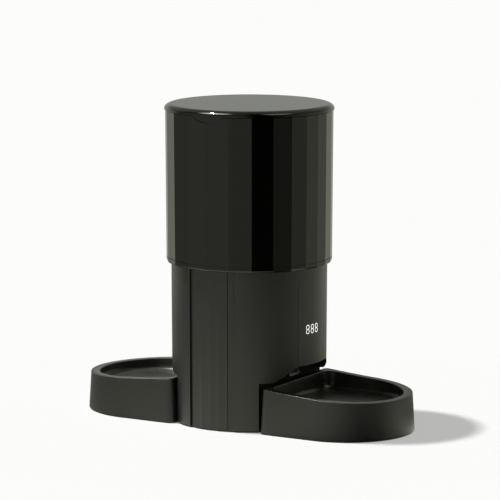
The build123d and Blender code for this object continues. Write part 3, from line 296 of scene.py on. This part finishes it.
def moulded_skin(shade, place, colour, roughness, grains=SATIN_GRAINS):
    """Moulded plastic: faint clouds of tone, uneven gloss and a fine grain in the skin."""
    clouds = shade.grain(place, per_metre=22.0, detail=3.0)
    skin = shade.grain(place, per_metre=grains, detail=1.0)
    return principled(shade, {
        "Base Color": clouds.tint(colour, 1 - MOULD_MOTTLE, 1 + MOULD_MOTTLE),
        "Roughness": roughness + (clouds - 0.5) * MOULD_SPREAD + (skin - 0.5) * MOULD_SPREAD,
        "IOR": PLASTIC_IOR,
        "Normal": skin.relief(power=0.35, depth=0.00002),
    })


def moulded(name, colour, roughness, grains=SATIN_GRAINS):
    """Piece of moulded plastic with one finish all over."""
    material, shade, place = new_finish(name)
    close_finish(shade, moulded_skin(shade, place, colour, roughness, grains))
    return material


def round_shell(name, colour, roughness, foot_reach, top_reach, height):
    """Round housing: satin on its leaning outer wall; on every face inside it, rougher plastic with painted
    shade, a darker colour and weaker specular.
    """
    material, shade, place = new_finish(name)
    level = shade.add("ShaderNodeSeparateXYZ", {}, {"Vector": place}, out="Z")
    flat = place.vector("MULTIPLY", (1.0, 1.0, 0.0))
    wall = foot_reach + level * ((top_reach - foot_reach) / height)
    depth = wall - flat.extent()
    outer = moulded_skin(shade, place, colour, roughness)
    # Painted shade: inside the outer wall the colour is darkened and the specular weakened to stand in for
    # the shade of the dock recess; only the higher roughness is the plastic's own.
    inner = principled(shade, {
        "Base Color": shade.grain(place, per_metre=500.0).tint(colour, 0.2, 0.5),
        "Roughness": 0.6 + shade.grain(place, per_metre=1500.0) * 0.2,
        "Specular IOR Level": 0.2,
    })
    close_finish(shade, shade.add(
        "ShaderNodeMixShader", {}, {0: depth.step(*SATIN_TO_PAINTED_SHADE), 1: outer, 2: inner}
    ))
    return material


def polished(name, colour, roughness):
    """Polished plastic: a nearly even mirror with faint flow lines from the mould."""
    material, shade, place = new_finish(name)
    upright = shade.add("ShaderNodeMapping", {}, {"Vector": place, "Scale": (1.0, 1.0, 0.25)})
    flow = shade.grain(upright, per_metre=14.0)
    dust = shade.grain(place, per_metre=900.0)
    close_finish(shade, principled(shade, {
        "Base Color": flow.tint(colour, 0.8, 1.2),
        "Roughness": roughness + (flow - 0.5) * 0.03 + dust.step(0.62, 0.8) * 0.05,
        "IOR": PLASTIC_IOR,
        "Normal": flow.relief(power=0.1, depth=0.0001),
    }))
    return material


def rubbery(name, colour, roughness):
    """Soft rubber: dull, with a pebbled skin and a pale bloom."""
    material, shade, place = new_finish(name)
    bloom = shade.grain(place, per_metre=60.0, detail=4.0)
    pebble = shade.add("ShaderNodeTexVoronoi", {}, {"Vector": place, "Scale": 1400.0})
    close_finish(shade, principled(shade, {
        "Base Color": bloom.tint(colour, 0.85, 1.4),
        "Roughness": roughness + (bloom - 0.5) * 0.15,
        "Normal": pebble.relief(power=0.4, depth=0.00004),
    }))
    return material


def lined_metal(name, colour, roughness, stretch):
    """Plain metal with fine lines along one direction."""
    material, shade, place = new_finish(name)
    along = shade.add("ShaderNodeMapping", {}, {"Vector": place, "Scale": stretch})
    lines = shade.grain(along, per_metre=1800.0, detail=3.0)
    stain = shade.grain(place, per_metre=90.0, detail=3.0)
    close_finish(shade, principled(shade, {
        "Base Color": stain.tint(colour, 0.82, 1.08),
        "Metallic": 1.0,
        "Roughness": roughness + (lines - 0.5) * 0.2,
        "Normal": lines.relief(power=0.3, depth=0.00002),
    }))
    return material


def solder_mask(name, colour):
    """Circuit board: green lacquer with paler copper runs under it."""
    material, shade, place = new_finish(name)
    layout = {"Vector": place, "Scale": 180.0, "Mortar Size": 0.05}
    tones = {"Color1": tone(colour, 0.8), "Color2": tone(colour, 1.1), "Mortar": tone(colour, 2.2)}
    lacquer = shade.add(
        "ShaderNodeTexBrick", {"offset": 0.5}, {**layout, **tones, "Mortar Smooth": 0.2}
    )
    runs = shade.add("ShaderNodeTexBrick", {"offset": 0.5}, layout, out="Fac")
    close_finish(shade, principled(shade, {
        "Base Color": lacquer,
        "Roughness": 0.28 + runs * 0.12,
        "Normal": runs.relief(power=0.4, depth=0.00003),
    }))
    return material


def sleeve(name, colour, band_colour, band_start):
    """Printed sleeve of a cell: a dark body with one coppery end band and no words."""
    material, shade, place = new_finish(name)
    along = shade.add("ShaderNodeSeparateXYZ", {}, {"Vector": place}, out="X")
    scuff = shade.grain(place, per_metre=140.0, detail=4.0)
    band = along.step(band_start - BAND_EDGE, band_start + BAND_EDGE)
    close_finish(shade, principled(shade, {
        "Base Color": band.blend(tone(colour, 0.35), tone(band_colour, 1.0)),
        "Metallic": 0.6,
        "Roughness": 0.3 + scuff * 0.2,
    }))
    return material


def lit_print(name, colour, light):
    """Lit figure behind a thin diffusing print with a faint speckle."""
    material, shade, place = new_finish(name)
    speckle = shade.grain(place, per_metre=2500.0)
    close_finish(shade, principled(shade, {
        "Base Color": speckle.tint(colour, 0.92, 1.0),
        "Roughness": 0.45 + speckle * 0.1,
        "Emission Color": speckle.tint(colour, 0.94, 1.0),
        "Emission Strength": light,
    }))
    return material


def dress(material, *names):
    """Give CAD pieces a finish."""
    for name in names:
        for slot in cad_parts[name].material_slots:
            slot.material = material


def add_piece(name, mesh, material, body):
    """New piece of the feeder that rides on a body."""
    piece = bpy.data.objects.new(name, mesh)
    bpy.context.scene.collection.objects.link(piece)
    mesh.materials.append(material)
    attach(piece, body)
    return piece


def around(radius, bearing, z):
    """Point at a bearing counted from the front towards +X."""
    return Vector((radius * math.sin(bearing), -radius * math.cos(bearing), z))


def figure_outlines(width, height, stroke):
    """Outer line and the two eyes of a figure made of two stacked loops."""
    tall = (height + stroke) / 4
    middle = height / 2 - tall
    wide = width / 2
    dip = math.asin(middle / tall)
    steps = 24
    outer = []
    for side in (1, -1):
        for k in range(steps + 1):
            turn = -dip + (math.pi + 2 * dip) * k / steps
            outer.append((side * wide * math.cos(turn), side * (middle + tall * math.sin(turn))))
    eyes = []
    for side in (1, -1):
        eyes.append([
            ((wide - stroke) * math.cos(2 * math.pi * k / steps),
             side * middle + (tall - stroke) * math.sin(2 * math.pi * k / steps))
            for k in range(steps)
        ])
    return [outer] + eyes


def figure_mesh(settings):
    """Flat figure as a mesh, with a little thickness."""
    curve = bpy.data.curves.new("figure_line", "CURVE")
    curve.dimensions = "2D"
    curve.fill_mode = "BOTH"
    curve.extrude = settings.proud
    for points in figure_outlines(settings.width, settings.height, settings.stroke):
        spline = curve.splines.new("POLY")
        spline.points.add(len(points) - 1)
        for knot, (x, y) in zip(spline.points, points):
            knot.co = (x, y, 0.0, 1.0)
        spline.use_cyclic_u = True
    holder = bpy.data.objects.new("figure_line", curve)
    mesh = bpy.data.meshes.new_from_object(holder)
    bpy.data.objects.remove(holder)
    bpy.data.curves.remove(curve)
    return mesh


def settle_on_window(mesh, window, settings, place):
    """Bend a flat figure onto the curved window, centred at a place along its width."""
    surface = BVHTree.FromPolygons(
        [v.co for v in window.data.vertices], [p.vertices for p in window.data.polygons]
    )
    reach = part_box("display_panel")[1].x
    for vertex in mesh.vertices:
        bearing = settings.bearing + (place + vertex.co.x) / reach
        start = around(2 * reach, bearing, settings.level + vertex.co.y)
        hit, normal, _, _ = surface.ray_cast(start, around(-1.0, bearing, 0.0))
        if hit is None:
            raise RuntimeError("a display figure misses its window")
        vertex.co = hit + normal * vertex.co.z


class FEEDER_OT_hopper(bpy.types.Operator):
    """Finish the collar, the hopper with its funnel and the lid above it"""

    bl_idname = "feeder.dress_hopper"
    bl_label = "Hopper and lid"

    def execute(self, context):
        look = context.scene.feeder_finish
        gloss = polished("polished_black", look.hopper_colour, look.hopper_gloss)
        inner = moulded("hopper_inner_grey", look.inner_colour, roughness=0.42)
        dress(gloss, "hopper_shell", "lid_cover", "collar_ring")
        dress(inner, "hopper_funnel", "lid_plug_ring", "desiccant_cup", "desiccant_cap")
        dress(rubbery("seal_silicone", look.seal_colour, roughness=0.5), "lid_seal")
        return {"FINISHED"}


class FEEDER_OT_base(bpy.types.Operator):
    """Finish the round housing, its fluted front, the chutes and the trays"""

    bl_idname = "feeder.dress_base"
    bl_label = "Base"

    def execute(self, context):
        look = context.scene.feeder_finish
        satin = moulded("satin_black", look.base_colour, look.base_gloss)
        dress(satin, "front_panel", "base_plate", "battery_door", "tray_right", "tray_left")
        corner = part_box("housing_shell")[1]
        shell = round_shell(
            "satin_shell_painted_shade_inside", look.base_colour, look.base_gloss,
            look.foot_reach, top_reach=corner.y, height=corner.z,
        )
        dress(shell, "housing_shell")
        dress(moulded("chute_black", look.chute_colour, look.chute_gloss), "chute_right", "chute_left")
        return {"FINISHED"}


class FEEDER_OT_display(bpy.types.Operator):
    """Finish the display window and set the three lit figures on it"""

    bl_idname = "feeder.build_display"
    bl_label = "Display"

    def execute(self, context):
        look = context.scene.feeder_finish
        sizes = context.scene.feeder_figures
        window = moulded("smoked_window", look.window_colour, roughness=0.3, grains=3200.0)
        dress(window, "display_panel")
        lit = lit_print("lit_figure", look.figure_colour, look.figure_light)
        for k, place in enumerate((-sizes.pitch, 0.0, sizes.pitch)):
            mesh = figure_mesh(sizes)
            settle_on_window(mesh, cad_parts["display_panel"], sizes, place)
            add_piece(f"display_figure_{k + 1}", mesh, lit, "base")
        return {"FINISHED"}


class FEEDER_OT_bowls(bpy.types.Operator):
    """Finish the bowl liners and the pads under the trays"""

    bl_idname = "feeder.dress_bowls"
    bl_label = "Bowls"

    def execute(self, context):
        look = context.scene.feeder_finish
        liner = moulded("liner_black", look.liner_colour, look.liner_gloss, grains=3000.0)
        dress(liner, "bowl_right", "bowl_left")
        dress(rubbery("pad_rubber", look.pad_colour, roughness=0.7), "tray_feet_right", "tray_feet_left")
        return {"FINISHED"}


class FEEDER_OT_dispenser(bpy.types.Operator):
    """Finish the portion wheel, its chamber and the gear train"""

    bl_idname = "feeder.dress_dispenser"
    bl_label = "Dispenser and drive"

    def execute(self, context):
        look = context.scene.feeder_finish
        grey = moulded("dispenser_grey", look.inner_colour, roughness=0.45)
        dress(grey, "dispenser_chamber", "gear_plate")
        dress(rubbery("wheel_rubber", look.wheel_colour, roughness=0.6), "portion_wheel")
        acetal = moulded("acetal_white", look.gear_colour, roughness=0.35, grains=1800.0)
        dress(acetal, "output_gear", "idler_gear")
        steel = lined_metal("turned_steel", look.steel_colour, roughness=0.32, stretch=LINES_UP)
        dress(steel, "wheel_shaft", "idler_axle", "motor_shaft", "motor", "gear_plate_screws")
        brass = lined_metal("turned_brass", look.brass_colour, roughness=0.3, stretch=LINES_UP)
        dress(brass, "motor_pinion", "shaft_bush")
        return {"FINISHED"}


class FEEDER_OT_electronics(bpy.types.Operator):
    """Finish the boards, their parts and the power inlet"""

    bl_idname = "feeder.dress_electronics"
    bl_label = "Electronics"

    def execute(self, context):
        look = context.scene.feeder_finish
        dress(solder_mask("board_green", look.board_colour), "display_board", "main_board")
        parts = moulded("component_black", look.chip_colour, roughness=0.4, grains=1500.0)
        dress(parts, "main_board_parts", "power_jack", "display_led_block")
        bracket = moulded("bracket_grey", look.inner_colour, roughness=0.45)
        dress(bracket, "display_board_posts", "power_jack_shelf")
        steel = lined_metal("board_screw_steel", look.steel_colour, roughness=0.35, stretch=LINES_UP)
        dress(steel, "main_board_screws")
        return {"FINISHED"}


class FEEDER_OT_underside(bpy.types.Operator):
    """Finish the feet, the screws and the battery room under the base"""

    bl_idname = "feeder.dress_underside"
    bl_label = "Underside"

    def execute(self, context):
        look = context.scene.feeder_finish
        dress(rubbery("foot_rubber", look.pad_colour, roughness=0.7), "base_feet")
        steel = lined_metal("plated_steel", look.steel_colour, roughness=0.35, stretch=LINES_ACROSS)
        dress(steel, "base_screws", "battery_contacts")
        dress(moulded("battery_box_grey", look.inner_colour, roughness=0.45), "battery_box")
        band_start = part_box("battery_cells")[1].x - look.band_length
        cells = sleeve("cell_sleeve", look.sleeve_colour, look.band_colour, band_start)
        dress(cells, "battery_cells")
        return {"FINISHED"}


# Brightness by bearing in degrees, from the camera towards the right: first the studio's walls, then the
# floor by the feeder and the floor further out, as the black plastic mirrors them.
WALL_LEVELS = (
    (-180, 0.42), (-150, 0.66), (-128, 0.68), (-108, 0.24), (-90, 0.44), (-70, 0.54), (-42, 0.53),
    (-18, 0.5), (-6, 0.33), (6, 0.01), (27, 0.01), (42, 0.12), (70, 0.39), (95, 0.58), (120, 0.53),
    (146, 0.66), (180, 0.42),
)
NEAR_FLOOR = (
    (-180, 0.3), (-110, 0.3), (-75, 1.2), (-40, 1.2), (-20, 1.22), (-5, 1.2), (5, 1.08), (15, 0.8),
    (25, 0.3), (38, 0.06), (48, 0.12), (58, 0.6), (68, 1.3), (80, 0.6), (95, 0.2), (130, 0.25),
    (180, 0.3),
)
FAR_FLOOR = (
    (-180, 0.36), (-110, 0.28), (-65, 0.86), (-30, 1.02), (-12, 1.06), (8, 1.02), (25, 0.84), (50, 0.55),
    (75, 0.64), (100, 0.66), (180, 0.42),
)
# Colours of the floor's paper, the background, what the plastic mirrors, and the mirrored wall behind.
PAPER = (1.0, 1.0, 0.995, 1.0)
BACKGROUND = (0.975, 0.975, 0.96, 1.0)
REFLECTED = (0.965, 0.99, 0.80, 1.0)
BEHIND = (0.965, 0.985, 0.93, 1.0)
# Metres from the feeder's middle between which the near floor gives way to the far one, and paper to white.
NEAR_TO_FAR = (0.3, 0.5)
PAPER_TO_WHITE = (0.34, 0.5)
# Openness of the floor: in a dark contact below the first, clear above the second.
CONTACT_TO_CLEAR = (0.12, 0.45)
# Rise of a direction, as a sine, between which the walls give way to the ceiling.
WALL_TO_CEILING = (0.2, 0.36)
# Cosine of the angle to straight behind the feeder, from the side walls to the wall behind.
SIDE_TO_BEHIND = (0.88, 0.97)
FLOOR_SEGMENTS = 96
CONTACT_SAMPLES = 8
LAMP_DISTANCE = 2.0
SENSOR_WIDTH = 36.0
FAR_CLIP = 50.0


def studio_level(direction, settings, levels):
    """Brightness of the studio in the bearing of a vector, read from a list of levels."""
    towards = around(1.0, settings.bearing, 0.0)
    beside = Vector((-towards.y, towards.x, 0.0))
    turn = direction.work("ARCTAN2", direction.dot(beside), direction.dot(towards)) / (2 * math.pi) + 0.5
    return turn.ramp([(degrees / 360 + 0.5, level) for degrees, level in levels])


def floor_finish(settings):
    """Pale floor that keeps the feeder's shadow and fades into the white background."""
    material, shade, place = new_finish("studio_floor")
    reach = place.extent()
    fibre = shade.grain(place, per_metre=400.0, detail=3.0)
    camera = shade.add("ShaderNodeLightPath", out="Is Camera Ray")
    glossy = shade.add("ShaderNodeLightPath", out="Is Glossy Ray")
    paper = shade.add("ShaderNodeBsdfDiffuse", {}, {
        "Color": fibre.tint(tone(PAPER, settings.floor_tone), 0.99, 1.0),
    })
    white = shade.add("ShaderNodeEmission", {}, {"Color": BACKGROUND, "Strength": 1.0})
    near = studio_level(place, settings, NEAR_FLOOR)
    beyond = studio_level(place, settings, FAR_FLOOR)
    mirrored = shade.add("ShaderNodeEmission", {}, {
        "Color": REFLECTED,
        "Strength": (near + (beyond - near) * reach.step(*NEAR_TO_FAR)) * settings.floor_glow,
    })
    openness = shade.add(
        "ShaderNodeAmbientOcclusion", {"samples": CONTACT_SAMPLES},
        {"Distance": settings.contact_reach}, out="AO",
    )
    clear = openness.step(*CONTACT_TO_CLEAR)
    whiteness = settings.floor_white + reach.step(*PAPER_TO_WHITE) * (1 - settings.floor_white)
    ground = shade.add("ShaderNodeMixShader", {}, {0: camera * whiteness * clear, 1: paper, 2: white})
    close_finish(shade, shade.add(
        "ShaderNodeMixShader", {}, {0: glossy * clear, 1: ground, 2: mirrored}
    ))
    return material


def panel_glow(aim, settings, bearing, power):
    """Light of a round panel that hangs at a bearing from the camera."""
    panel = around(
        math.cos(settings.panel_height), settings.bearing + bearing, math.sin(settings.panel_height)
    )
    edge = math.cos(settings.panel_spread)
    full = math.cos(settings.panel_spread / 2)
    return aim.dot(panel).step(edge, full) * power


def studio_world(settings):
    """White background for the camera; a studio of uneven brightness for the reflections."""
    world = bpy.data.worlds.new("studio")
    world.use_nodes = True
    world.node_tree.nodes.clear()
    shade = Shade(world.node_tree)
    aim = shade.add("ShaderNodeTexCoord", out="Generated")
    camera = shade.add("ShaderNodeLightPath", out="Is Camera Ray")
    glossy = shade.add("ShaderNodeLightPath", out="Is Glossy Ray")
    left = panel_glow(aim, settings, settings.left_panel, settings.left_power)
    right = panel_glow(aim, settings, settings.right_panel, settings.right_power)
    rise = aim.dot((0.0, 0.0, 1.0))
    overhead = settings.plain_ceiling + glossy * (settings.ceiling - settings.plain_ceiling)
    walls = 1 - rise.step(*WALL_TO_CEILING) * (1 - overhead)
    bright = studio_level(aim, settings, WALL_LEVELS) * walls + (left + right) * glossy
    behind = aim.dot(around(-1.0, settings.bearing, 0.0)).step(*SIDE_TO_BEHIND)
    light = shade.add("ShaderNodeBackground", {}, {
        "Color": camera.blend(behind.blend(REFLECTED, BEHIND), BACKGROUND),
        "Strength": camera + (1 - camera) * bright * settings.fill,
    })
    shade.add("ShaderNodeOutputWorld", {}, {"Surface": light})
    return world


def lay_floor(scene, settings):
    """Round pale floor under the feeder."""
    mesh = bpy.data.meshes.new("studio_floor")
    shape = bmesh.new()
    bmesh.ops.create_circle(shape, cap_ends=True, segments=FLOOR_SEGMENTS, radius=settings.floor_radius)
    shape.to_mesh(mesh)
    shape.free()
    mesh.materials.append(floor_finish(settings))
    floor = bpy.data.objects.new("studio_floor", mesh)
    scene.collection.objects.link(floor)


def hang_lamp(scene, settings):
    """Lamp high on the left, which casts the feeder's shadow."""
    key = bpy.data.lights.new("key", "SUN")
    key.energy = settings.key_power
    key.angle = settings.key_softness
    lamp = bpy.data.objects.new("key", key)
    bearing = settings.bearing - settings.key_bearing
    source = around(math.cos(settings.key_height), bearing, math.sin(settings.key_height))
    lamp.rotation_euler = source.to_track_quat("Z", "Y").to_euler()
    lamp.location = source * LAMP_DISTANCE
    scene.collection.objects.link(lamp)


def set_camera(scene, settings):
    """Camera at the photograph's viewing angle."""
    view = bpy.data.cameras.new("camera")
    view.lens = settings.lens
    view.sensor_width = SENSOR_WIDTH
    view.clip_end = FAR_CLIP
    camera = bpy.data.objects.new("camera", view)
    camera.location = around(settings.distance, settings.bearing, settings.height)
    camera.rotation_euler = (math.pi / 2 - settings.pitch, 0.0, settings.bearing - settings.turn)
    scene.collection.objects.link(camera)
    scene.camera = camera


class FEEDER_OT_stage(bpy.types.Operator):
    """Set up the white studio: floor, background, lamp and camera"""

    bl_idname = "feeder.build_stage"
    bl_label = "Studio"

    def execute(self, context):
        scene = context.scene
        settings = scene.feeder_studio
        scene.view_settings.view_transform = "Standard"
        scene.world = studio_world(settings)
        lay_floor(scene, settings)
        hang_lamp(scene, settings)
        set_camera(scene, settings)
        return {"FINISHED"}


STEPS = (
    FEEDER_OT_hopper, FEEDER_OT_base, FEEDER_OT_display, FEEDER_OT_bowls, FEEDER_OT_dispenser,
    FEEDER_OT_electronics, FEEDER_OT_underside, FEEDER_OT_stage,
)


class FEEDER_PT_looks(bpy.types.Panel):
    """Sidebar list of the feeder's steps and settings"""

    bl_idname = "FEEDER_PT_looks"
    bl_label = "Pet feeder"
    bl_space_type = "VIEW_3D"
    bl_region_type = "UI"
    bl_category = "Feeder"

    def draw(self, context):
        for name in ("feeder_finish", "feeder_figures", "feeder_studio"):
            group = getattr(context.scene, name)
            box = self.layout.box()
            for key in group.bl_rna.properties.keys():
                if key not in {"rna_type", "name"}:
                    box.prop(group, key)
        for step in STEPS:
            self.layout.operator(step.bl_idname)


CLASSES = (FeederFinish, FeederFigures, FeederStudio) + STEPS + (FEEDER_PT_looks,)


def register():
    """Add the classes and hang the settings on the scene."""
    for kind in CLASSES:
        bpy.utils.register_class(kind)
    bpy.types.Scene.feeder_finish = PointerProperty(type=FeederFinish)
    bpy.types.Scene.feeder_figures = PointerProperty(type=FeederFigures)
    bpy.types.Scene.feeder_studio = PointerProperty(type=FeederStudio)


def unregister():
    """Take the settings and the classes away again."""
    del bpy.types.Scene.feeder_studio
    del bpy.types.Scene.feeder_figures
    del bpy.types.Scene.feeder_finish
    for kind in reversed(CLASSES):
        bpy.utils.unregister_class(kind)


def main():
    """Run every step."""
    register()
    bpy.ops.feeder.dress_hopper()
    bpy.ops.feeder.dress_base()
    bpy.ops.feeder.build_display()
    bpy.ops.feeder.dress_bowls()
    bpy.ops.feeder.dress_dispenser()
    bpy.ops.feeder.dress_electronics()
    bpy.ops.feeder.dress_underside()
    bpy.ops.feeder.build_stage()


if __name__ == "__main__":
    main()
